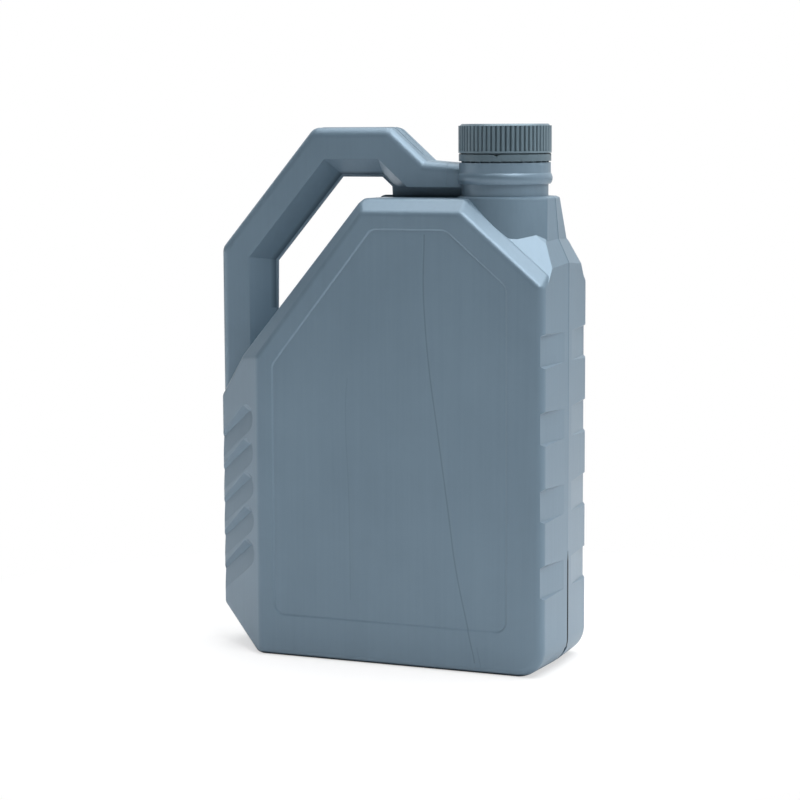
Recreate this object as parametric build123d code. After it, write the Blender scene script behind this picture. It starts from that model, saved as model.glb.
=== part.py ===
from build123d import *
import math
import os

# Lubricant jerry can of about three litres, blow-moulded, with a ribbed screw cap.
# Millimetres. +X runs from the handle to the neck, the label face looks towards -Y, +Z is up.
# The parting plane of the mould is the XZ plane, and everything is mirrored about it.

# Body, overall
width = 207.0
depth = 74.0
wall = 1.2
plateau_height = 259.0
front_drop = 7.5
bevel_depth = 9.0
edge_radius = 4.5
heel_radius = 16.0
smooth_limit = 25.0

# Body, left side: a bevel from the front face to a narrow spine, cut away above the base
left_bevel = 35.0
spine_half = 11.5
foot_cut_height = 22.0
foot_cut_run = 33.0

# Body, right side: a slight ridge at the parting plane
right_bevel = 1.7

# Body, upper corners of the front face
upper_left_run = 65.0
upper_left_drop = 81.5
upper_left_rise = 8.7
upper_left_turn = 1.9
upper_right_run = 47.3
upper_right_drop = 40.5
upper_right_rise = 5.5

# Label panel, a shallow step in both broad faces
panel_step = 0.6
panel_draft = 58.0
panel_left_margin = 9.2
panel_right_margin = 20.6
panel_top_margin = 8.6
panel_left_slant = 9.5
panel_right_slant = 12.0
panel_bottom = 23.6
panel_corner = 7.0

# Grip pads on the right side, deepest at the front edge
pad_count = 4
pad_drop = 23.0
pad_lowest = 43.4
pad_height = 19.2
pad_depth = 1.9
pad_reach = 31.0
pad_ledge = 1.5

# Grip slots on the left bevel, sloping down towards the spine
slot_count = 5
slot_rise = 0.5
slot_lowest = 57.9
slot_length = 52.0
slot_share = 0.54
slot_depth = 2.0
slot_slope = 30.0
slot_tilt = -6.0
slot_dive = 2.2
slot_draft = 38.0
slot_end_sides = 5
slot_inset = 8.0

# Base
base_rim = 11.0
base_margin = 5.0
base_recess = 3.0
base_draft = 35.0
seam_groove = 4.0
seam_groove_depth = 2.0
seam_groove_top = 11.0
slit_width = 0.6
slit_depth = 0.7
slit_top = 65.0

# Handle, a closed loop of one section from the spine to the neck
handle_half = 11.5
handle_faces = (18.7, 17.5, 17.5, 17.5)
handle_ridges = (12.2, 10.5, 9.0, 8.0)
handle_rise = 38.5
handle_slant_share = 0.549
handle_slant_drop = 68.0
handle_fall_run = 20.6
handle_radius = 5.5
handle_corner = 7.0
bridge_length = 43.3
bridge_drop = 2.4
bridge_slant = 3.4
bridge_gap = 5.8
bridge_closed = 30.0
inner_corner = 2.2
inner_edge = 3.4
web_length = 66.0
web_thickness = 2.4

# Neck block: a cone that runs out into a flat ridged side, on a bevelled shoulder
block_step = 1.0
neck_inset = 37.1
block_top_radius = 26.6
block_top_inset = 8.8
block_top_half = 10.2
block_side = 23.0
block_waist_radius = 30.2
block_waist_inset = 6.95
block_waist_half = 15.8
block_ridge = 0.9
block_root = 19.0
block_radius = 1.6
block_roll = (0, 0.33, 1)
facet_height = 13.0
facet_drop = 2.0
strip_lean = 35.0
strip_inset = 0.6

# Neck, from the shoulder up
throat_radius = 23.8
bead_radius = 26.0
bead_step = 1.0
bead_rise = 3.8
bead_fall = 2.2
collar_radius = 25.1
collar_length = 5.6
finish_radius = 21.2
finish_length = 17.8
bore_radius = 18.6
neck_height = 36.0
tooth_count = 24
tooth_height = 0.8
tooth_width = 0.9
tooth_cover = 1.6

# Cap, liner and band
cap_radius = 25.5
cap_root_radius = 24.75
cap_core_radius = 24.7
cap_rib_count = 60
cap_rib_crest = 0.45
cap_top_thickness = 2.0
cap_bore_radius = 23.3
cap_skirt = 12.6
cap_rim_height = 1.1
cap_edge = 1.0
liner_thickness = 1.2
liner_clearance = 0.4
band_radius = 25.3
band_bore_radius = 22.4
band_gap = 0.7
notch_count = 4
notch_width = 3.4
notch_depth = 1.1
notch_angle = -80.2

# Places that follow from the sizes
left_x = -width / 2
right_x = width / 2
front_y = -depth / 2
front_top = plateau_height - front_drop
shelf_y = front_y + bevel_depth
front_left_x = left_x + left_bevel
front_right_x = right_x - right_bevel
corner_a = (front_left_x + upper_left_run, front_top)
corner_b = (front_right_x - upper_right_run, front_top)
corner_c = (front_right_x, front_top - upper_right_drop)
corner_f = (front_left_x, front_top - upper_left_drop)
neck_x = right_x - neck_inset
inner_z = corner_f[1] - left_bevel
pad_top = corner_c[1] - pad_drop
pad_pitch = (pad_top - pad_height - pad_lowest) / (pad_count - 1)
slot_top = inner_z + slot_rise
slot_pitch = (slot_top - slot_lowest) / (slot_count - 1)
slot_width = slot_pitch * slot_share
handle_top = plateau_height + handle_rise
bridge_under = plateau_height + bridge_gap
block_top = plateau_height + block_step
block_waist = block_top - block_side
facet_foot = block_waist - facet_height
block_foot = facet_foot - block_root
mouth_height = block_top + neck_height
collar_top = mouth_height - finish_length
collar_foot = collar_top - collar_length
bridge_end = collar_top - bridge_drop
bead_height = collar_foot - bead_fall
bead_foot = bead_height - bead_rise
cap_bottom = mouth_height - cap_skirt
cap_top = mouth_height + liner_thickness + cap_top_thickness
band_top = cap_bottom - band_gap
band_bottom = collar_top + tooth_height
tiny = 0.001


def unit(run, rise):
    """The direction of a run and a rise, at length one."""
    length = math.hypot(run, rise)
    return run / length, rise / length


def trim(blank, point, normal, inset):
    """Cut away what lies beyond a plane that is moved inwards by the inset."""
    direction = Vector(*normal).normalized()
    origin = Vector(*point) - direction * inset
    return split(blank, bisect_by=Plane(origin=origin, z_dir=direction), keep=Keep.BOTTOM)


def through(first, second, third, outside):
    """A plane through three points, as a point and a normal on the side of the outside point."""
    a, b, c = Vector(*first), Vector(*second), Vector(*third)
    normal = (b - a).cross(c - a).normalized()
    if normal.dot(Vector(*outside) - a) < 0:
        normal = normal * -1
    return first, tuple(normal)


def upper_edge(start, end, rise, turn=0):
    """The bevel along one upper edge of the front face, and the slope behind it, turned by an angle."""
    run, fall = unit(end[0] - start[0], end[1] - start[1])
    middle_x = (start[0] + end[0]) / 2 - fall * rise
    middle_z = (start[1] + end[1]) / 2 + run * rise
    shelf = (middle_x, shelf_y, middle_z)
    outside = (middle_x - fall * depth, front_y - depth, middle_z + run * depth)
    bevel = through((start[0], front_y, start[1]), (end[0], front_y, end[1]), shelf, outside)
    skew = math.radians(turn)
    slope = (shelf, (run * math.sin(skew) - fall * math.cos(skew), 0,
                     run * math.cos(skew) + fall * math.sin(skew)))
    return bevel, slope


def cut_flat(edges, radius):
    """Cut edges of a convex form flat, as deep as the middle of a rolled edge of that radius."""
    form = edges[0].topo_parent
    cuts = []
    for edge in edges:
        first, second = [f.normal_at() for f in form.faces() if edge in f.edges()]
        lean = math.radians(first.get_angle(second) / 2)
        cuts.append((edge.center(), first + second, radius / math.cos(lean) - radius))
    for point, normal, inset in cuts:
        form = trim(form, point, normal, inset)
    return form


def bend(form, edge):
    """The angle in degrees by which the surface turns at an edge."""
    middle = edge @ 0.5
    first, second = [f.normal_at(middle) for f in form.faces() if edge in f.edges()]
    return first.get_angle(second)


def rolled_heel():
    """What the round of the heel takes off the front half's edge between base and right side."""
    outward = Vector(-front_y, -right_bevel, 0).normalized()
    along = Vector(right_bevel, -front_y, 0).normalized()
    axis = Vector(right_x, 0, heel_radius) - outward * heel_radius
    middle = heel_radius * math.sqrt(0.5)
    arc = ThreePointArc((0, heel_radius), (middle, middle), (heel_radius, 0))
    corner = Polyline(arc @ 1, (depth, 0), (depth, depth), (0, depth), arc @ 0)
    face = Plane(origin=axis, x_dir=outward, z_dir=along) * make_face([arc, corner])
    return trim(extrude(face, amount=depth, both=True), (0, 0, 0), (0, 1, 0), 0)


def right_heel(form):
    """The edges still to be cut between the base and the right side."""
    low = [e for e in form.edges() if (e @ 0.5).X > neck_x and (e @ 0.5).Z < heel_radius]
    level = [e for e in low if abs((e % 0.5).Y) > math.cos(math.radians(smooth_limit))]
    return [e for e in level if bend(form, e) > smooth_limit]


def main_form(inset, soften, size):
    """The body without handle and neck: a block trimmed by its faces, with softened edges."""
    left_edge, left_slope = upper_edge(corner_f, corner_a, upper_left_rise, upper_left_turn)
    right_edge, right_slope = upper_edge(corner_b, corner_c, upper_right_rise)
    top_edge, top_slope = upper_edge(corner_a, corner_b, plateau_height - front_top)
    side_edge = through((front_right_x, front_y, 0), (front_right_x, front_y, front_top),
                        (right_x, 0, 0), (width, front_y, 0))
    bevel_edge = through((front_left_x, front_y, 0), (front_left_x, front_y, front_top),
                         (left_x, -spine_half, 0), (-width, front_y, 0))
    front = ((0, front_y, 0), (0, -1, 0))
    spine = ((left_x, 0, 0), (-1, 0, 0))
    foot_cut = ((left_x, 0, foot_cut_height), (-foot_cut_height, 0, -foot_cut_run))
    floor = ((0, 0, 0), (0, 0, -1))
    form = Box(2 * width, 2 * depth, 2 * plateau_height)
    for point, normal in (spine, foot_cut, floor, left_slope, right_slope, top_slope):
        form = trim(form, point, normal, inset)
    for point, normal in (front, left_edge, right_edge, top_edge, side_edge, bevel_edge):
        form = trim(form, point, normal, inset)
        mirrored_point = (point[0], -point[1], point[2])
        mirrored_normal = (normal[0], -normal[1], normal[2])
        form = trim(form, mirrored_point, mirrored_normal, inset)
    if not inset:
        form -= both_halves(rolled_heel())
    heel = right_heel(form)
    while heel:
        form = soften(heel, heel_radius - inset)
        heel = right_heel(form)
    return soften([e for e in form.edges() if bend(form, e) > smooth_limit], size)


def meet(first, second):
    """Where two lines in the XZ plane cross. A line is a point and a direction."""
    (px, pz), (ux, uz) = first
    (qx, qz), (vx, vz) = second
    along = ((qx - px) * vz - (qz - pz) * vx) / (ux * vz - uz * vx)
    return px + ux * along, pz + uz * along


def beside(start, end, distance):
    """The line from start to end, moved to its right-hand side."""
    run, rise = unit(end[0] - start[0], end[1] - start[1])
    return (start[0] + rise * distance, start[1] - run * distance), (run, rise)


def slab(outline, near, far):
    """An outline in the XZ plane, extruded from y = near to y = far."""
    face = make_face(Polyline(*[(x, near, z) for x, z in outline], close=True))
    return extrude(face, amount=far - near, dir=(0, 1, 0))


def both_halves(part):
    """A part and its mirror image about the parting plane."""
    return part + mirror(part, about=Plane.XZ)


def panel():
    """The shallow step of the label panel in the front face."""
    left = ((front_left_x + panel_left_margin, 0), (0, 1))
    right = ((front_right_x - panel_right_margin, 0), (0, 1))
    top = ((0, front_top - panel_top_margin), (1, 0))
    bottom = ((0, panel_bottom), (1, 0))
    left_slant = beside(corner_f, corner_a, panel_left_slant)
    right_slant = beside(corner_b, corner_c, panel_right_slant)
    ring = (left, left_slant, top, right_slant, right, bottom)
    corners = [meet(ring[i - 1], ring[i]) for i in range(len(ring))]
    face = make_face(Polyline(*[(x, front_y, z) for x, z in corners], close=True))
    face = fillet(face.vertices(), panel_corner)
    return extrude(face, amount=panel_step, dir=(0, 1, 0), taper=panel_draft)


def grip_pad(top, inset):
    """One wedge-shaped pad recess of the right side, deepest at the front edge."""
    middle = top - pad_height / 2
    block = Pos(right_x, front_y + pad_reach / 2, middle) * Box(2 * left_bevel, depth, 2 * pad_height)
    deep_x = front_right_x - pad_depth
    shallow_x = front_right_x + right_bevel * pad_reach / -front_y
    floor = through((deep_x, front_y, 0), (deep_x, front_y, top),
                    (shallow_x, front_y + pad_reach, 0), (left_x, front_y, 0))
    block = trim(block, *floor, -inset)
    bottom = top - pad_height
    for edge, foot, beyond in ((top, top - pad_ledge, depth), (bottom, bottom + pad_ledge, -depth)):
        end_wall = through((deep_x, front_y, foot), (shallow_x, front_y + pad_reach, foot),
                           (front_right_x, front_y, edge), (deep_x, front_y, foot + beyond))
        block = trim(block, *end_wall, -inset)
    return block


def grip_slot(top, inset):
    """One round-ended slot of the left bevel, running out over the spine."""
    across = Vector(-left_bevel, -front_y - spine_half, 0).normalized()
    outward = Vector(front_y + spine_half, -left_bevel, 0).normalized()
    slope = math.radians(slot_slope)
    along = across * math.cos(slope) - Vector(0, 0, 1) * math.sin(slope)
    end = Vector(front_left_x, front_y, top) + across * slot_inset
    centre = end + along * (slot_length / 2) - outward * (slot_depth + inset)
    plane = Plane(origin=centre, x_dir=along, z_dir=outward).rotated((slot_tilt, slot_dive, 0))
    if inset:
        margin = 2 * inset + 2 * slot_depth * math.tan(math.radians(slot_draft))
        return extrude(plane * Rectangle(slot_length + margin, slot_width + margin), amount=slot_width)
    radius = slot_width / 2
    turns = [math.radians(90 + 180 * i / slot_end_sides) for i in range(slot_end_sides + 1)]
    rounded = [(radius * math.cos(t) - slot_length / 2 + radius, radius * math.sin(t)) for t in turns]
    open_end = slot_length / 2
    outline = make_face(Polyline(*rounded, (open_end, -radius), (open_end, radius), close=True))
    return extrude(plane * outline, amount=radius, taper=-slot_draft)


def base_hollow(inset):
    """The raised middle of the base, inside the rim that it stands on."""
    left = left_x + foot_cut_run + base_rim
    right = right_x - heel_radius - base_margin
    length = right - left + 2 * inset
    breadth = depth - 2 * base_rim + 2 * inset
    sketch = Pos((left + right) / 2, 0, 0) * RectangleRounded(length, breadth, base_rim)
    return extrude(sketch, amount=base_recess + inset, taper=base_draft)


def handle_path():
    """The outer line of the handle, from the spine over the top and down to the bridge."""
    fall_end = neck_x - bridge_length
    fall_start = fall_end - handle_fall_run
    top_start = left_x + (fall_start - left_x) * handle_slant_share
    return [(left_x, inner_z), (left_x, handle_top - handle_slant_drop), (top_start, handle_top),
            (fall_start, handle_top), (fall_end, bridge_end + bridge_slant)]


def handle_line(distances, last):
    """The handle's outer line moved inwards run by run, up to where it meets the last line."""
    path = handle_path()
    runs = [beside(path[i], path[i + 1], distances[i]) for i in range(len(path) - 1)] + [last]
    start = (path[0][0] + distances[0], inner_z)
    return [start] + [meet(runs[i], runs[i + 1]) for i in range(len(runs) - 1)]


def handle_form(inset, soften, corner, edge):
    """The handle with its ridged inner side. The loop's ends run on into the body."""
    half = handle_half - inset
    end_x = neck_x - bridge_closed if inset else neck_x
    end_run = beside(handle_path()[-1], (neck_x, bridge_end), inset)
    outline = handle_line([inset] * len(handle_ridges), end_run)
    bends = [Vector(x, 0, z) for x, z in outline[1:-1]]
    outline += [meet(end_run, ((end_x, 0), (0, 1))), (end_x, corner_c[1])]
    block = slab(outline, -half, half)
    corners = [e for e in block.edges() if any((e.center() - b).length < tiny for b in bends)]
    block = soften(corners, corner)
    buried = make_face(Polyline(*[(x, -half, z) for x, z in outline[-2:] + outline[:1]], close=True))
    hidden = both_halves(buried).edges()
    shown = [e for e in block.edges() if not any(h.distance_to(e @ 0.5) < tiny for h in hidden)]
    block = soften([e for e in shown if abs(abs((e @ 0.5).Y) - half) < tiny], edge)
    under = bridge_under + inset

    def gap(distances, y):
        points = handle_line(distances, ((0, under), (1, 0)))
        points += [(right_x, under), (right_x, corner_c[1])]
        return make_face(Polyline(*[(x, y, z) for x, z in points], close=True))

    shifts = [inset * math.hypot(1, ridge / handle_half) for ridge in handle_ridges]
    waists = [f + r - s for f, r, s in zip(handle_faces, handle_ridges, shifts)]
    mouth = gap([w - r * half / handle_half for w, r in zip(waists, handle_ridges)], -half)
    waist = gap(waists, 0)
    return block - both_halves(loft([mouth, waist], ruled=True))


def web():
    """The pinched web of the moulding that closes the narrow gap under the bridge."""
    block = Box(web_length, web_thickness, bridge_gap + 2 * wall,
                align=(Align.MAX, Align.CENTER, Align.MIN))
    return Pos(neck_x, 0, plateau_height - wall) * block


def turned(points):
    """A solid of revolution about the neck's axis, from straight runs of radius and height."""
    face = make_face(Polyline(*[(neck_x + r, 0, z) for r, z in points], close=True))
    return revolve(face, axis=Axis((neck_x, 0, 0), (0, 0, 1)))


def block_section(height, radius, side_inset, half, inset):
    """A level section of the neck block: an arc, two tangents and a side with a slight ridge."""
    reach = neck_inset - side_inset - inset
    arc_radius = radius - inset
    edge_y = half - inset
    turn = math.acos(arc_radius / math.hypot(reach, edge_y)) + math.atan2(edge_y, reach)
    touch = (neck_x + arc_radius * math.cos(turn), arc_radius * math.sin(turn))
    front = [(touch[0], -touch[1], height), (neck_x + reach, -edge_y, height)]
    ridge = (neck_x + reach + block_ridge, 0, height)
    back = [(neck_x + reach, edge_y, height), (touch[0], touch[1], height)]
    arc = ThreePointArc(back[1], (neck_x - arc_radius, 0, height), front[0])
    return make_face([Polyline(*front, ridge, *back), arc])


def shoulder(inset):
    """The bevelled shoulder between the neck block and the right side of the body."""
    side_x = right_x - block_waist_inset
    ridge_top = (side_x + block_ridge, 0, block_waist)
    ridge_foot = (right_x, 0, facet_foot)
    edge_top = (side_x, -block_waist_half, block_waist)
    edge_foot = (front_right_x, front_y + edge_radius, facet_foot - facet_drop)
    above = (right_x, front_y, plateau_height)
    facet = through(ridge_top, ridge_foot, edge_foot, above)
    slope = upper_edge(corner_b, corner_c, upper_right_rise)[1]
    along = unit(corner_c[0] - corner_b[0], corner_c[1] - corner_b[1])
    valley = (slope[0][0], shelf_y + strip_inset, slope[0][2])
    lower = (valley[0] - along[0] * depth, valley[1], valley[2] - along[1] * depth)
    foot_line = (edge_foot, edge_top, (edge_foot[0] - along[0], edge_foot[1], edge_foot[2] - along[1]))
    corner = through(*foot_line, above)
    lean = math.radians(strip_lean)
    back = (valley[0], valley[1] + math.sin(lean), valley[2] + math.cos(lean))
    strip = through(valley, lower, back, (neck_x, front_y - depth, plateau_height))
    side = through((front_right_x, front_y, 0), (front_right_x, front_y, front_top),
                   (right_x, 0, 0), (width, front_y, 0))
    half = depth / 2 - edge_radius - inset
    blank = Box(width, 2 * half, depth, align=(Align.MIN, Align.CENTER, Align.MIN))
    form = Pos(neck_x, 0, block_foot) * blank
    for point, normal in (facet, corner, strip, side):
        form = trim(form, point, normal, inset)
        form = trim(form, (point[0], -point[1], point[2]), (normal[0], -normal[1], normal[2]), inset)
    return form


def neck_block(inset):
    """The block under the neck with its softened top edge, standing on its shoulder."""
    side = (block_waist_radius, block_waist_inset, block_waist_half)
    foot = block_section(block_foot, *side, inset)
    waist = block_section(block_waist, *side, inset)
    levels = []
    for share in (1,) if inset else block_roll:
        turn = math.radians(90 * share)
        drawn_in = 0 if inset else block_radius * (1 - math.cos(turn))
        height = block_top - block_radius * (1 - math.sin(turn))
        levels.append(block_section(height - inset, block_top_radius, block_top_inset, block_top_half,
                                    inset + drawn_in))
    body = loft([foot, waist], ruled=True) + loft([waist, levels[0]], ruled=True)
    for lower, upper in zip(levels, levels[1:]):
        body += loft([lower, upper], ruled=True)
    return body + shoulder(inset)


def neck():
    """The neck with bead, collar and the stop teeth that carry the band."""
    lip = bead_radius - bead_step
    foot = Line((neck_x + throat_radius, 0, bead_foot), (neck_x + lip, 0, bead_foot))
    bead_top = (neck_x + collar_radius, 0, collar_foot)
    bead = ThreePointArc(foot @ 1, (neck_x + bead_radius, 0, bead_height), bead_top)
    finish_x = neck_x + finish_radius
    rest = Polyline(bead_top, (neck_x + collar_radius, 0, collar_top), (finish_x, 0, collar_top),
                    (finish_x, 0, mouth_height), (neck_x, 0, mouth_height),
                    (neck_x, 0, block_foot), (neck_x + throat_radius, 0, block_foot), foot @ 0)
    body = revolve(make_face([foot, bead, rest]), axis=Axis((neck_x, 0, 0), (0, 0, 1)))
    root = (bore_radius + finish_radius) / 2
    reach = band_bore_radius + tooth_cover - root
    tooth = Box(reach, tooth_width, tooth_height, align=(Align.MIN, Align.CENTER, Align.MIN))
    for i in range(tooth_count):
        turn = Rot(0, 0, 360 / tooth_count * i)
        body += Pos(neck_x, 0, collar_top) * turn * Pos(root, 0, 0) * tooth
    return body


def pinch_groove(inset):
    """The groove of the pinched seam, along the base and up round the heel."""
    centre_x = right_x - heel_radius
    level = seam_groove_depth + inset
    top = seam_groove_top + inset
    reach = heel_radius - level
    turn = math.acos((heel_radius - top) / reach)
    half_way = (centre_x + reach * math.sin(turn / 2), 0, heel_radius - reach * math.cos(turn / 2))
    arc = ThreePointArc((centre_x, 0, level), half_way, (centre_x + reach * math.sin(turn), 0, top))
    outside = [(width, 0, top), (width, 0, -depth), (-width, 0, -depth), (-width, 0, level)]
    rest = Polyline(arc @ 1, *outside, arc @ 0)
    return extrude(make_face([arc, rest]), amount=seam_groove / 2 + inset, both=True)


def seam_slit():
    """The open part of the seam, low on the ridge of the right side."""
    return Pos(right_x, 0, slit_top / 2) * Box(2 * slit_depth, slit_width, slit_top)


def recesses(inset):
    """The base's hollow and seam groove, the grip pads and the grip slots, larger by the inset."""
    cuts = [base_hollow(inset), pinch_groove(inset)]
    for i in range(pad_count):
        cuts.append(both_halves(grip_pad(pad_top - pad_pitch * i, inset)))
    for i in range(slot_count):
        cuts.append(both_halves(grip_slot(slot_top - slot_pitch * i, inset)))
    return cuts


def can_body():
    """The blow-moulded shell: outer form less the inner form, one wall apart."""
    outer = main_form(0, fillet, edge_radius) + handle_form(0, fillet, handle_corner, handle_radius)
    outer = outer + neck_block(0) + neck() + web()
    outer = outer - recesses(0) - both_halves(panel()) - seam_slit()
    inner = main_form(wall, cut_flat, edge_radius - wall)
    inner = inner + handle_form(wall, chamfer, inner_corner, inner_edge)
    inner = inner + neck_block(wall) - recesses(wall)
    bore = Cylinder(bore_radius, mouth_height, align=(Align.CENTER, Align.CENTER, Align.MIN))
    return outer - inner - Pos(neck_x, 0, block_foot) * bore


def screw_cap():
    """The ribbed cap: root cylinder, ribs, plain rim and chamfered top."""
    step = 2 * math.pi / cap_rib_count
    rim_top = cap_bottom + cap_rim_height
    flank = [(-cap_rib_crest, cap_radius), (cap_rib_crest, cap_radius), (1, cap_root_radius)]
    outline = []
    for i in range(cap_rib_count):
        for share, radius in flank:
            angle = step * (i + share / 2)
            outline.append((neck_x + radius * math.cos(angle), radius * math.sin(angle), rim_top))
    ribs = extrude(make_face(Polyline(*outline, close=True)), amount=cap_top - rim_top - cap_edge)
    shell = turned([(0, cap_bottom), (cap_radius, cap_bottom), (cap_radius, rim_top),
                    (cap_core_radius, rim_top), (cap_core_radius, cap_top - cap_edge),
                    (cap_core_radius - cap_edge, cap_top), (0, cap_top)])
    hollow = turned([(0, cap_bottom), (cap_bore_radius, cap_bottom),
                     (cap_bore_radius, cap_top - cap_top_thickness), (0, cap_top - cap_top_thickness)])
    return shell + ribs - hollow


def cap_liner():
    """The round sealing wad between the cap's top and the mouth."""
    radius = cap_bore_radius - liner_clearance
    top = mouth_height + liner_thickness
    return turned([(0, mouth_height), (radius, mouth_height), (radius, top), (0, top)])


def tamper_band():
    """The ring left on the neck, with the notches of its parted bridges."""
    ring = turned([(band_bore_radius, band_bottom), (band_radius, band_bottom),
                   (band_radius, band_top), (band_bore_radius, band_top)])
    half = notch_width / 2
    wedge = make_face(Polyline((0, -half, 0), (0, half, 0), (0, 0, -notch_depth), close=True))
    notch = extrude(wedge, amount=cap_radius, dir=(1, 0, 0))
    for i in range(notch_count):
        ring -= Pos(neck_x, 0, band_top) * Rot(0, 0, notch_angle + 360 / notch_count * i) * notch
    return ring


if __name__ == "__main__":
    os.makedirs("parts", exist_ok=True)
    for make in (can_body, screw_cap, cap_liner, tamper_band):
        solid = make()
        export_step(solid, f"parts/{make.__name__}.step")
        print(make.__name__, len(solid.solids()), round(solid.volume), solid.is_valid)
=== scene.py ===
import math

import bmesh
import bpy
from mathutils import Matrix, Vector
from mathutils.bvhtree import BVHTree


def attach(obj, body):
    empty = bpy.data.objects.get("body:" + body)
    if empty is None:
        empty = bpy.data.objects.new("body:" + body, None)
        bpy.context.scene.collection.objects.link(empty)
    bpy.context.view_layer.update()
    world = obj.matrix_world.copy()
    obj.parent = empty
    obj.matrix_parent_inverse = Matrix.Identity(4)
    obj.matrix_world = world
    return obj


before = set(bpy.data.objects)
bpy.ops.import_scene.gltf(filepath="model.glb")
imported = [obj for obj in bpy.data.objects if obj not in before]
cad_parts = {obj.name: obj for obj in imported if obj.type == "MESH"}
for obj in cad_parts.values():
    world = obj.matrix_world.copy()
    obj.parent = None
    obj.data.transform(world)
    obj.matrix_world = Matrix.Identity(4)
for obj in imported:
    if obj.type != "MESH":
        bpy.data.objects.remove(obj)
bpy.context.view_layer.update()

# Places and sizes shared with the solids, in metres
MM = 0.001
NECK_X = 66.4 * MM
FRONT_Y = -37.0 * MM
BLOCK_TOP = 260.0 * MM
BLOCK_HALF = 27.5 * MM
SLIT_TOP = 65.0 * MM
SLIT_LEFT = 80.0 * MM
FINISH_RADIUS = 21.2 * MM
BAND_TOP = 282.7 * MM
CAP_BORE = 23.3 * MM
CREST_RADIUS = 25.5 * MM
GROOVE_RADIUS = 24.75 * MM
RIB_TOP = 298.0 * MM
THREAD_PITCH = 4.0 * MM


# Node helpers

def link(tree, source, target):
    tree.links.new(source, target)


def node(tree, kind, **values):
    made = tree.nodes.new(kind)
    for key, value in values.items():
        setattr(made, key, value)
    return made


def math_node(tree, operation, *values):
    made = node(tree, "ShaderNodeMath", operation=operation)
    for socket, value in zip(made.inputs, values):
        if isinstance(value, (int, float)):
            socket.default_value = value
        else:
            link(tree, value, socket)
    return made.outputs["Value"]


def product(tree, value, *others):
    for other in others:
        value = math_node(tree, "MULTIPLY", value, other)
    return value


def blend(tree, first, first_share, second, second_share):
    """The sum of two values, each times its share."""
    return math_node(tree, "ADD", product(tree, first, first_share),
                     product(tree, second, second_share))


def between(tree, value, span):
    low, high = span
    return product(tree, math_node(tree, "GREATER_THAN", value, low),
                   math_node(tree, "LESS_THAN", value, high))


def remap(tree, value, span, result):
    """A value taken from one span to another, and held at the ends."""
    made = node(tree, "ShaderNodeMapRange")
    for key, number in zip(("From Min", "From Max", "To Min", "To Max"), (*span, *result)):
        made.inputs[key].default_value = number
    link(tree, value, made.inputs["Value"])
    return made.outputs["Result"]


def split(tree, vector):
    made = node(tree, "ShaderNodeSeparateXYZ")
    link(tree, vector, made.inputs["Vector"])
    return made.outputs["X"], made.outputs["Y"], made.outputs["Z"]


def length(tree, vector):
    made = node(tree, "ShaderNodeVectorMath", operation="LENGTH")
    link(tree, vector, made.inputs[0])
    return made.outputs["Value"]


def noise(tree, coordinates, stretch, scale, detail):
    """A noise in object space, stretched along the axes."""
    mapping = node(tree, "ShaderNodeMapping")
    mapping.inputs["Scale"].default_value = stretch
    link(tree, coordinates, mapping.inputs["Vector"])
    made = node(tree, "ShaderNodeTexNoise")
    made.inputs["Scale"].default_value = scale
    made.inputs["Detail"].default_value = detail
    link(tree, mapping.outputs["Vector"], made.inputs["Vector"])
    return made.outputs["Fac"]


def ramp(tree, value, span, dark, light):
    """A colour that goes from one to the other over a span of values."""
    made = node(tree, "ShaderNodeValToRGB")
    for end, position, colour in zip(made.color_ramp.elements, span, (dark, light)):
        end.position = position
        end.color = (*colour, 1)
    link(tree, value, made.inputs["Fac"])
    return made.outputs["Color"]


# Plastics

# Noises: stretch along the axes, scale, detail
CLOUDS = ((1, 1, 1), 14, 3)
STREAKS = ((1, 1, 0.03), 420, 2)
GRAIN = ((1, 1, 1), 2600, 2)

TINT_SPAN = (0.34, 0.66)
CLOUD_TINT, STREAK_TINT = 0.75, 0.25
GRAIN_HEIGHT = 0.12
SHINE = 0.5
CLOUD_GLOSS, GRAIN_GLOSS = 0.5, 0.5
GLOSS_SPAN = (0.3, 0.7)
ROUGH_SPREAD = 0.04
BUMP_STRENGTH = 0.28
BUMP_DEPTH = 0.4 * MM


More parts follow.
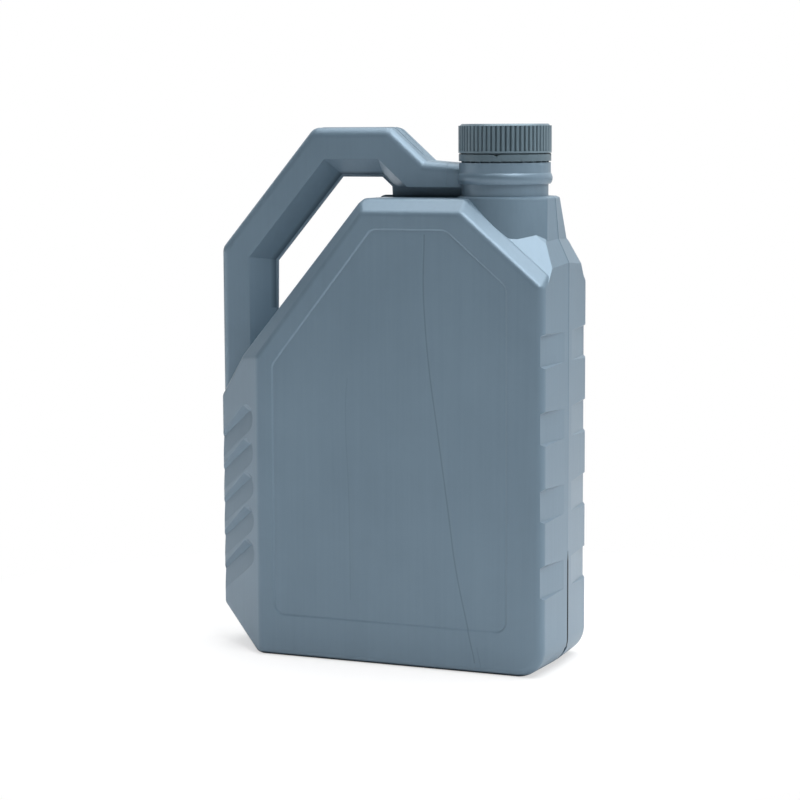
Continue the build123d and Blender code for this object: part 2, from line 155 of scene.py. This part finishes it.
def plastic(name, dark, light, rough, streaks, pearl=0.0, shades=()):
    """Satin moulded plastic: cloudy colour, drawn-out streaks, a fine grain and a pearl pigment.

    A shade is a mask, the share of colour and shine that it leaves, and how far it is sunk.
    """
    material = bpy.data.materials.new(name)
    material.use_nodes = True
    tree = material.node_tree
    shader = tree.nodes["Principled BSDF"]
    place = node(tree, "ShaderNodeTexCoord").outputs["Object"]
    clouds = noise(tree, place, *CLOUDS)
    drawn = noise(tree, place, *STREAKS)
    grain = noise(tree, place, *GRAIN)

    tint = blend(tree, clouds, CLOUD_TINT, drawn, STREAK_TINT)
    colour = ramp(tree, tint, TINT_SPAN, dark, light)
    height = blend(tree, drawn, streaks, grain, GRAIN_HEIGHT)
    shine = SHINE
    for mask, level, sunk in shades:
        amount = mask(tree, place)
        shade = node(tree, "ShaderNodeMix", data_type="RGBA", blend_type="MULTIPLY")
        shade.inputs["B"].default_value = (level, level, level, 1)
        link(tree, amount, shade.inputs["Factor"])
        link(tree, colour, shade.inputs["A"])
        colour = shade.outputs["Result"]
        height = math_node(tree, "SUBTRACT", height, product(tree, amount, sunk))
        dull = product(tree, amount, 1 - level)
        shine = product(tree, shine, math_node(tree, "SUBTRACT", 1, dull))
    link(tree, colour, shader.inputs["Base Color"])
    shader.inputs["Metallic"].default_value = pearl
    if shades:
        link(tree, shine, shader.inputs["Specular IOR Level"])

    gloss = blend(tree, clouds, CLOUD_GLOSS, grain, GRAIN_GLOSS)
    rough_span = (rough - ROUGH_SPREAD, rough + ROUGH_SPREAD)
    link(tree, remap(tree, gloss, GLOSS_SPAN, rough_span), shader.inputs["Roughness"])
    bump = node(tree, "ShaderNodeBump")
    bump.inputs["Strength"].default_value = BUMP_STRENGTH
    bump.inputs["Distance"].default_value = BUMP_DEPTH
    link(tree, height, bump.inputs["Height"])
    link(tree, bump.outputs["Normal"], shader.inputs["Normal"])
    return material


# Lines of the front face: half width in mm, strength, and points across and up in mm
DIE_LINES = (
    (0.6, 0.8, [(33.4, 240.0), (32.7, 212.0), (33.7, 191.0), (36.0, 166.4), (40.6, 133.7),
                (47.5, 84.5), (50.9, 59.8), (59.7, 18.7), (62.4, 6.0)]),
    (0.5, 0.4, [(63.8, 15.0), (66.0, 4.0)]),
    (0.5, 0.3, [(-13.0, 160.0), (-14.0, 148.0), (-12.4, 90.0), (-11.9, 35.7)]),
)
# The field that the lines' curves cover, and how far behind the front face they reach
DIE_HEIGHT = 300.0
DIE_HALF = 110.0
DIE_DEPTH = 2.0 * MM


def die_lines(tree, place):
    """Fine drawn lines of the front face, each a curve of places across over the height."""
    x, y, z = split(tree, place)
    height = remap(tree, z, (0, DIE_HEIGHT * MM), (0, 1))
    front = math_node(tree, "LESS_THAN", y, FRONT_Y + DIE_DEPTH)
    total = None
    for width, strength, points in DIE_LINES:
        ordered = sorted((up / DIE_HEIGHT, (across + DIE_HALF) / (2 * DIE_HALF))
                         for across, up in points)
        (low, low_across), (high, high_across) = ordered[0], ordered[-1]
        curve = node(tree, "ShaderNodeFloatCurve")
        track = curve.mapping.curves[0]
        track.points[0].location = (0, low_across)
        track.points[1].location = (1, high_across)
        for at in ordered:
            track.points.new(*at)
        curve.mapping.update()
        link(tree, height, curve.inputs["Value"])
        line_x = remap(tree, curve.outputs["Value"], (0, 1), (-DIE_HALF * MM, DIE_HALF * MM))
        apart = math_node(tree, "ABSOLUTE", math_node(tree, "SUBTRACT", x, line_x))
        near = remap(tree, apart, (0, width * MM), (strength, 0))
        mask = product(tree, near, between(tree, height, (low, high)))
        total = mask if total is None else math_node(tree, "MAXIMUM", total, mask)
    return product(tree, total, front)


SLIT_HALF = (0.8 * MM, 1.2 * MM)
SLIT_RUN_OUT = (SLIT_TOP - 6 * MM, SLIT_TOP)


def slit_painted_shade(tree, place):
    """Painted shade for the depth of the open seam low on the right side."""
    x, y, z = split(tree, place)
    near = remap(tree, math_node(tree, "ABSOLUTE", y), SLIT_HALF, (1, 0))
    right = math_node(tree, "GREATER_THAN", x, SLIT_LEFT)
    low = remap(tree, z, SLIT_RUN_OUT, (1, 0))
    return product(tree, near, right, low)


# The handle's inner sides lie under a line that rises to the right with this slope
RIDGE_SLOPE = 1.169
RIDGE_LEVEL = 312.0 * MM
RIDGE_X = (-76 * MM, -2 * MM)
RIDGE_Z = (195 * MM, 276 * MM)
RIDGE_FADE = (0.6 * MM, 3.0 * MM)
FLASH_HALF = 0.52 * MM


def ridge_painted_shade(tree, place):
    """Painted shade on the handle's inner sides towards their ridge, where they would turn away
    from the light, short of its flash.
    """
    x, y, z = split(tree, place)
    apart = math_node(tree, "ABSOLUTE", y)
    near = product(tree, remap(tree, apart, RIDGE_FADE, (1, 0)),
                   math_node(tree, "GREATER_THAN", apart, FLASH_HALF))
    level = math_node(tree, "SUBTRACT", z, product(tree, x, RIDGE_SLOPE))
    inner = math_node(tree, "LESS_THAN", level, RIDGE_LEVEL)
    return product(tree, near, inner, between(tree, x, RIDGE_X), between(tree, z, RIDGE_Z))


FOOT_FADE = (0.8 * MM, 2.2 * MM)


def foot_painted_shade(tree, place):
    """Painted shade along the foot: the dark line where the rolled edge of the base leaves the
    floor, for the shadowed gap beneath it.
    """
    return remap(tree, split(tree, place)[2], FOOT_FADE, (1, 0))


def groove_painted_shade(tree, place):
    """Painted shade in the grooves between the cap's grip ribs."""
    x, y, z = split(tree, place)
    flat = node(tree, "ShaderNodeCombineXYZ")
    link(tree, math_node(tree, "SUBTRACT", x, NECK_X), flat.inputs["X"])
    link(tree, y, flat.inputs["Y"])
    radius = length(tree, flat.outputs["Vector"])
    deep = remap(tree, radius, (GROOVE_RADIUS, CREST_RADIUS), (1, 0))
    return product(tree, deep, math_node(tree, "LESS_THAN", z, RIB_TOP))


CAN_DARK = (0.118, 0.176, 0.228)
CAN_LIGHT = (0.136, 0.200, 0.256)
CAP_DARK = (0.101, 0.149, 0.180)
CAP_LIGHT = (0.121, 0.176, 0.211)
FOAM_DARK = (0.70, 0.70, 0.66)
FOAM_LIGHT = (0.78, 0.78, 0.75)
# Painted shade: the slit, foot and ridge masks darken the can's colour and shine where shade falls
can_plastic = plastic("can_plastic", CAN_DARK, CAN_LIGHT, rough=0.40, streaks=0.35, pearl=0.3,
                      shades=[(die_lines, 0.7, 0.6), (slit_painted_shade, 0.03, 0.0),
                              (foot_painted_shade, 0.05, 0.0), (ridge_painted_shade, 0.5, 0.0)])
# Painted shade: the groove mask darkens the cap's colour in its grooves
cap_plastic = plastic("cap_plastic", CAP_DARK, CAP_LIGHT, rough=0.42, streaks=0.15, pearl=0.3,
                      shades=[(groove_painted_shade, 0.4, 0.0)])
liner_foam = plastic("liner_foam", FOAM_DARK, FOAM_LIGHT, rough=0.75, streaks=0.05)
finishes = {"can_body": can_plastic, "screw_cap": cap_plastic, "tamper_band": cap_plastic,
            "cap_liner": liner_foam}
for name, finish in finishes.items():
    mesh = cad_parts[name].data
    mesh.materials.clear()
    mesh.materials.append(finish)


# Pieces

def new_piece(name, vertices, faces, body, material):
    mesh = bpy.data.meshes.new(name)
    mesh.from_pydata(vertices, [], faces)
    work = bmesh.new()
    work.from_mesh(mesh)
    bmesh.ops.recalc_face_normals(work, faces=work.faces)
    work.to_mesh(mesh)
    work.free()
    mesh.materials.append(material)
    piece = bpy.data.objects.new(name, mesh)
    bpy.context.scene.collection.objects.link(piece)
    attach(piece, body)


def ring_faces(first, second, rows):
    """The faces between two rings of vertices, given by the first vertex of each."""
    return [(first + k, second + k, second + (k + 1) % rows, first + (k + 1) % rows)
            for k in range(rows)]


def about_neck(radius, angle, height):
    return NECK_X + radius * math.cos(angle), radius * math.sin(angle), height


# A thread's steps in a turn, half widths, run-out in turns and least share of its height, and how
# deep its root is sunk into the wall
THREAD_STEPS = 72
THREAD_ROOT_HALF = 1.15 * MM
THREAD_CREST_HALF = 0.45 * MM
THREAD_RUN_OUT = 0.3
THREAD_LEAST = 0.02
SUNK = 0.1 * MM


def thread(name, body, material, root, crest, low, turns):
    """A helical ridge about the neck's axis, running out into its wall at both ends."""
    vertices, faces = [], []
    rows = 4
    count = int(turns * THREAD_STEPS) + 1
    for i in range(count):
        done = i / THREAD_STEPS
        share = min(1, done / THREAD_RUN_OUT, (turns - done) / THREAD_RUN_OUT)
        radius = root + (crest - root) * max(share, THREAD_LEAST)
        angle = 2 * math.pi * done
        middle = low + THREAD_PITCH * done
        for r, z in ((root, -THREAD_ROOT_HALF), (radius, -THREAD_CREST_HALF),
                     (radius, THREAD_CREST_HALF), (root, THREAD_ROOT_HALF)):
            vertices.append(about_neck(r, angle, middle + z))
        if i:
            faces += ring_faces(rows * (i - 1), rows * i, rows)
    last = rows * (count - 1)
    faces += [(0, 1, 2, 3), (last + 3, last + 2, last + 1, last)]
    new_piece(name, vertices, faces, body, material)


thread("neck_thread", "can", can_plastic, root=FINISH_RADIUS - SUNK,
       crest=22.4 * MM, low=285.2 * MM, turns=2.1)
thread("cap_thread", "cap", cap_plastic, root=CAP_BORE + SUNK,
       crest=21.9 * MM, low=287.2 * MM, turns=1.6)


# The lip's profile: radius and height over the band's top, in mm
LIP_PROFILE = ((22.6, -0.15), (22.6, 0.5), (24.5, 0.5), (24.7, 0.3), (24.7, -0.15))
LIP_STEPS = 144
# A stub's edges: radius and height over the band's top in mm, and share of its half width
STUB_EDGES = ((24.4, -0.1, 1), (25.15, -0.1, 1), (24.5, 0.42, 0.5), (25.0, 0.42, 0.5))
STUB_FACES = ((0, 1, 3, 2), (4, 6, 7, 5), (0, 4, 5, 1), (2, 3, 7, 6), (0, 2, 6, 4), (1, 5, 7, 3))
STUB_HALF = 0.45 * MM
STUB_COUNT = 24


def band_lip():
    """The thin lip on the band's top with the stubs of its parted bridges."""
    vertices, faces = [], []
    rows = len(LIP_PROFILE)
    for i in range(LIP_STEPS):
        angle = 2 * math.pi * i / LIP_STEPS
        vertices += [about_neck(r * MM, angle, BAND_TOP + z * MM) for r, z in LIP_PROFILE]
        faces += ring_faces(rows * i, rows * ((i + 1) % LIP_STEPS), rows)
    middle = Vector((NECK_X, 0, BAND_TOP))
    for i in range(STUB_COUNT):
        angle = 2 * math.pi * (i + 0.5) / STUB_COUNT
        out = Vector((math.cos(angle), math.sin(angle), 0))
        side = Vector((-math.sin(angle), math.cos(angle), 0))
        base = len(vertices)
        for r, z, share in STUB_EDGES:
            for sign in (-1, 1):
                at = middle + out * r * MM + side * STUB_HALF * share * sign
                vertices.append((at.x, at.y, at.z + z * MM))
        faces += [tuple(base + k for k in quad) for quad in STUB_FACES]
    new_piece("band_lip", vertices, faces, "can", cap_plastic)


band_lip()


# Lines of the mould on the can

TINY = 1e-6
PROBE = 0.3 * MM


def skin_runs(point, normal, keep, outward):
    """The can's outer outline in a plane, as runs of points with their outward directions.

    A place counts as outer when a line outward, or else along the plane's normal, is clear.
    """
    work = bmesh.new()
    work.from_mesh(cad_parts["can_body"].data)
    bmesh.ops.remove_doubles(work, verts=work.verts, dist=TINY)
    tree = BVHTree.FromBMesh(work)
    across = Vector(normal)
    cut = bmesh.ops.bisect_plane(work, geom=work.verts[:] + work.edges[:] + work.faces[:],
                                 plane_co=point, plane_no=normal, dist=TINY)["geom_cut"]
    at = {}
    for e in cut:
        if not isinstance(e, bmesh.types.BMEdge) or not e.link_faces:
            continue
        out = sum((f.normal for f in e.link_faces), Vector())
        out -= across * out.dot(across)
        if out.length < TINY:
            continue
        out.normalize()
        middle = (e.verts[0].co + e.verts[1].co) / 2
        lines = (out,) if outward else (across, -across)
        probe = middle + out * PROBE
        if not keep(middle) or any(tree.ray_cast(probe, line)[0] for line in lines):
            continue
        edge = (e.verts[0], e.verts[1], out)
        for v in e.verts:
            at.setdefault(v, []).append(edge)
    runs, used = [], set()

    def walk(v, edge):
        run = [(v.co.copy(), edge[2])]
        while edge is not None:
            used.add(id(edge))
            v = edge[1] if edge[0] is v else edge[0]
            onward = [o for o in at[v] if id(o) not in used] if len(at[v]) == 2 else []
            out = edge[2] + onward[0][2] if onward else edge[2]
            run.append((v.co.copy(), out.normalized() if out.length > TINY else edge[2]))
            edge = onward[0] if onward else None
        return run

    for v in [v for v in at if len(at[v]) != 2] + list(at):
        for edge in at[v]:
            if id(edge) not in used:
                runs.append(walk(v, edge))
    work.free()
    return runs


def flash(name, point, normal, keep, profile, outward=False):
    """A ridge of moulding flash along an outline; its profile is heights and half widths in mm."""
    side = Vector(normal)
    rows = 2 * len(profile)
    vertices, faces = [], []
    for run in skin_runs(point, normal, keep, outward):
        if len(run) < 3:
            continue
        closed = (run[0][0] - run[-1][0]).length < TINY
        first, last = len(vertices), len(vertices) + rows * (len(run) - 1)
        for i, (p, out) in enumerate(run):
            end = 0.0 if not closed and i in (0, len(run) - 1) else 1.0
            ring = [(min(up, up * end), -half) for up, half in profile]
            ring += [(up, -half) for up, half in reversed(ring)]
            if i:
                faces += ring_faces(len(vertices) - rows, len(vertices), rows)
            vertices += [p + out * up * MM + side * half * MM for up, half in ring]
        if not closed:
            faces += [tuple(first + k for k in range(rows)),
                      tuple(last + k for k in reversed(range(rows)))]
    new_piece(name, vertices, faces, "can", can_plastic)


GAP_X = (-80 * MM, 45 * MM)
GAP_Z = (170 * MM, 273.5 * MM)
BASE_EDGE = 3 * MM
NECK_LOW = BLOCK_TOP - 0.5 * MM
SLIT_END = SLIT_TOP + 1 * MM
BRIDGE_LOW = 264.5 * MM
FALL_X = (-12 * MM, 24 * MM)
FALL_LOW = 275 * MM


def around_gap(p):
    """Inside the loop of the handle, seen from the front."""
    return GAP_Z[0] < p.z < GAP_Z[1] and GAP_X[0] < p.x < GAP_X[1]


def outside(p):
    """On the outer outline, off the base, the slit and the neck."""
    near_neck = abs(p.x - NECK_X) < BLOCK_HALF and p.z > NECK_LOW
    at_slit = p.x > SLIT_LEFT and p.z < SLIT_END
    return p.z > BASE_EDGE and not near_neck and not at_slit and not around_gap(p)


def on_bridge(p):
    """On the bridge between the handle and the neck."""
    return p.z > BRIDGE_LOW


def on_fall(p):
    """On the falling end of the handle's top."""
    return FALL_X[0] < p.x < FALL_X[1] and p.z > FALL_LOW


ACROSS = (0, 1, 0)
ALONG = (1, 0, 0)
PARTING = ((-0.15, 0.35), (0.2, 0.1))
FIN = ((-0.15, 0.25), (0.35, 0.2), (0.45, 0.5), (0.95, 0.5), (1.1, 0.3))
INSERT = ((-0.15, 0.25), (0.12, 0.08))
TRIM = ((-0.15, 0.3), (0.22, 0.12))
INSERT_X = 36.2 * MM
TRIM_Y = 3.4 * MM
flash("parting_line", (0, 0, 0), ACROSS, outside, PARTING)
flash("handle_flash", (0, 0, 0), ACROSS, around_gap, FIN)
flash("insert_line", (INSERT_X, 0, 0), ALONG, on_bridge, INSERT, outward=True)
flash("trim_front", (0, -TRIM_Y, 0), ACROSS, on_fall, TRIM, outward=True)
flash("trim_back", (0, TRIM_Y, 0), ACROSS, on_fall, TRIM, outward=True)


# Floor, light and camera

FLOOR_HALF = 12.0
PAPER_DARK = (0.83, 0.83, 0.84)
PAPER_LIGHT = (0.86, 0.86, 0.86)
PAPER_FIBRE = ((1, 1, 1), 300, 2)
# The floor fades to white over these distances, from this share of white
FADE = (0.14, 0.34)
FADE_SHARE = (0.62, 1.0)

# The wall's direction in the plan, its level as light, and the level of the room in front
WALL_SIDE = (0.31, 0.95)
WALL_EDGE = (-0.2, 0.2)
WALL_LEVEL = 1.05
ROOM_LEVEL = 0.05
WALL_COLOUR = (0.97, 0.99, 1.0, 1)
WHITE = (1, 1, 1, 1)

# Lamps: place and target in metres, width, height, watts
SOFTBOXES = {
    "top_box": ((0.25, 0.0, 1.75), (0.1, 0, 0.15), 2.0, 2.0, 44),
    "left_fill": ((-1.30, -0.35, 0.10), (0, 0, 0.12), 0.9, 0.4, 1.8),
    "key": ((0.60, -0.44, 1.25), (0.04, 0, 0.2), 0.6, 0.6, 7),
}

# The photograph's view point, from its vanishing lines: angles in degrees, place in metres
CAMERA_TURN, CAMERA_TILT, CAMERA_ROLL = 22.94, 6.74, -0.28
CAMERA_PLACE = (0.51427, -1.20726, 0.29953)
SENSOR = 36.0
LENS = 105.24
CLIP_END = 100


def seen(tree):
    """One for what the camera sees itself, and nothing for light on its way."""
    rays = node(tree, "ShaderNodeLightPath").outputs
    return math_node(tree, "MAXIMUM", rays["Is Camera Ray"], rays["Is Transmission Ray"])


def mix_out(tree, share, first, second, kind):
    """Two shaders mixed by a share, and led to the tree's output."""
    mix = node(tree, "ShaderNodeMixShader")
    link(tree, share, mix.inputs["Fac"])
    link(tree, first, mix.inputs[1])
    link(tree, second, mix.inputs[2])
    link(tree, mix.outputs["Shader"], node(tree, kind).inputs["Surface"])


def build_floor():
    """Pale paper that keeps the shadow near the part and turns white further out."""
    corners = [(x * FLOOR_HALF, y * FLOOR_HALF, 0) for x, y in ((-1, -1), (1, -1), (1, 1), (-1, 1))]
    mesh = bpy.data.meshes.new("floor")
    mesh.from_pydata(corners, [], [(0, 1, 2, 3)])
    material = bpy.data.materials.new("floor_paper")
    material.use_nodes = True
    tree = material.node_tree
    tree.nodes.clear()
    place = node(tree, "ShaderNodeTexCoord").outputs["Object"]
    matt = node(tree, "ShaderNodeBsdfDiffuse")
    fibre = noise(tree, place, *PAPER_FIBRE)
    link(tree, ramp(tree, fibre, (0, 1), PAPER_DARK, PAPER_LIGHT), matt.inputs["Color"])
    white = node(tree, "ShaderNodeEmission")
    far = remap(tree, length(tree, place), FADE, FADE_SHARE)
    mix_out(tree, product(tree, seen(tree), far), matt.outputs["BSDF"],
            white.outputs["Emission"], "ShaderNodeOutputMaterial")
    mesh.materials.append(material)
    made = bpy.data.objects.new("floor", mesh)
    bpy.context.scene.collection.objects.link(made)


def build_world():
    """White to the camera. As light it is a white wall behind and a dim room in front."""
    world = bpy.data.worlds.new("studio")
    bpy.context.scene.world = world
    world.use_nodes = True
    tree = world.node_tree
    tree.nodes.clear()
    x, y, _ = split(tree, node(tree, "ShaderNodeTexCoord").outputs["Generated"])
    toward = blend(tree, x, WALL_SIDE[0], y, WALL_SIDE[1])
    lit = node(tree, "ShaderNodeBackground")
    lit.inputs["Color"].default_value = WALL_COLOUR
    link(tree, remap(tree, toward, WALL_EDGE, (ROOM_LEVEL, WALL_LEVEL)), lit.inputs["Strength"])
    plain = node(tree, "ShaderNodeBackground")
    plain.inputs["Color"].default_value = WHITE
    mix_out(tree, seen(tree), lit.outputs["Background"], plain.outputs["Background"],
            "ShaderNodeOutputWorld")


def softbox(name, place, target, width, height, power):
    data = bpy.data.lights.new(name, "AREA")
    data.shape = "RECTANGLE"
    data.size = width
    data.size_y = height
    data.energy = power
    lamp = bpy.data.objects.new(name, data)
    bpy.context.scene.collection.objects.link(lamp)
    aim = (Vector(target) - Vector(place)).to_track_quat("-Z", "Y")
    lamp.matrix_world = Matrix.Translation(place) @ aim.to_matrix().to_4x4()


def build_camera():
    turn, tilt, roll = (math.radians(a) for a in (CAMERA_TURN, CAMERA_TILT, CAMERA_ROLL))
    ahead = Vector((-math.sin(turn) * math.cos(tilt), math.cos(turn) * math.cos(tilt),
                    -math.sin(tilt)))
    side = Vector((math.cos(turn), math.sin(turn), 0))
    top = side.cross(ahead)
    right = side * math.cos(roll) + top * math.sin(roll)
    up = top * math.cos(roll) - side * math.sin(roll)
    data = bpy.data.cameras.new("camera")
    data.sensor_width = SENSOR
    data.lens = LENS
    data.clip_end = CLIP_END
    camera = bpy.data.objects.new("camera", data)
    axes = Matrix((right, up, -ahead)).transposed().to_4x4()
    camera.matrix_world = Matrix.Translation(CAMERA_PLACE) @ axes
    bpy.context.scene.collection.objects.link(camera)
    bpy.context.scene.camera = camera


build_floor()
build_world()
for name, lamp in SOFTBOXES.items():
    softbox(name, *lamp)
build_camera()
bpy.context.scene.view_settings.view_transform = "Standard"
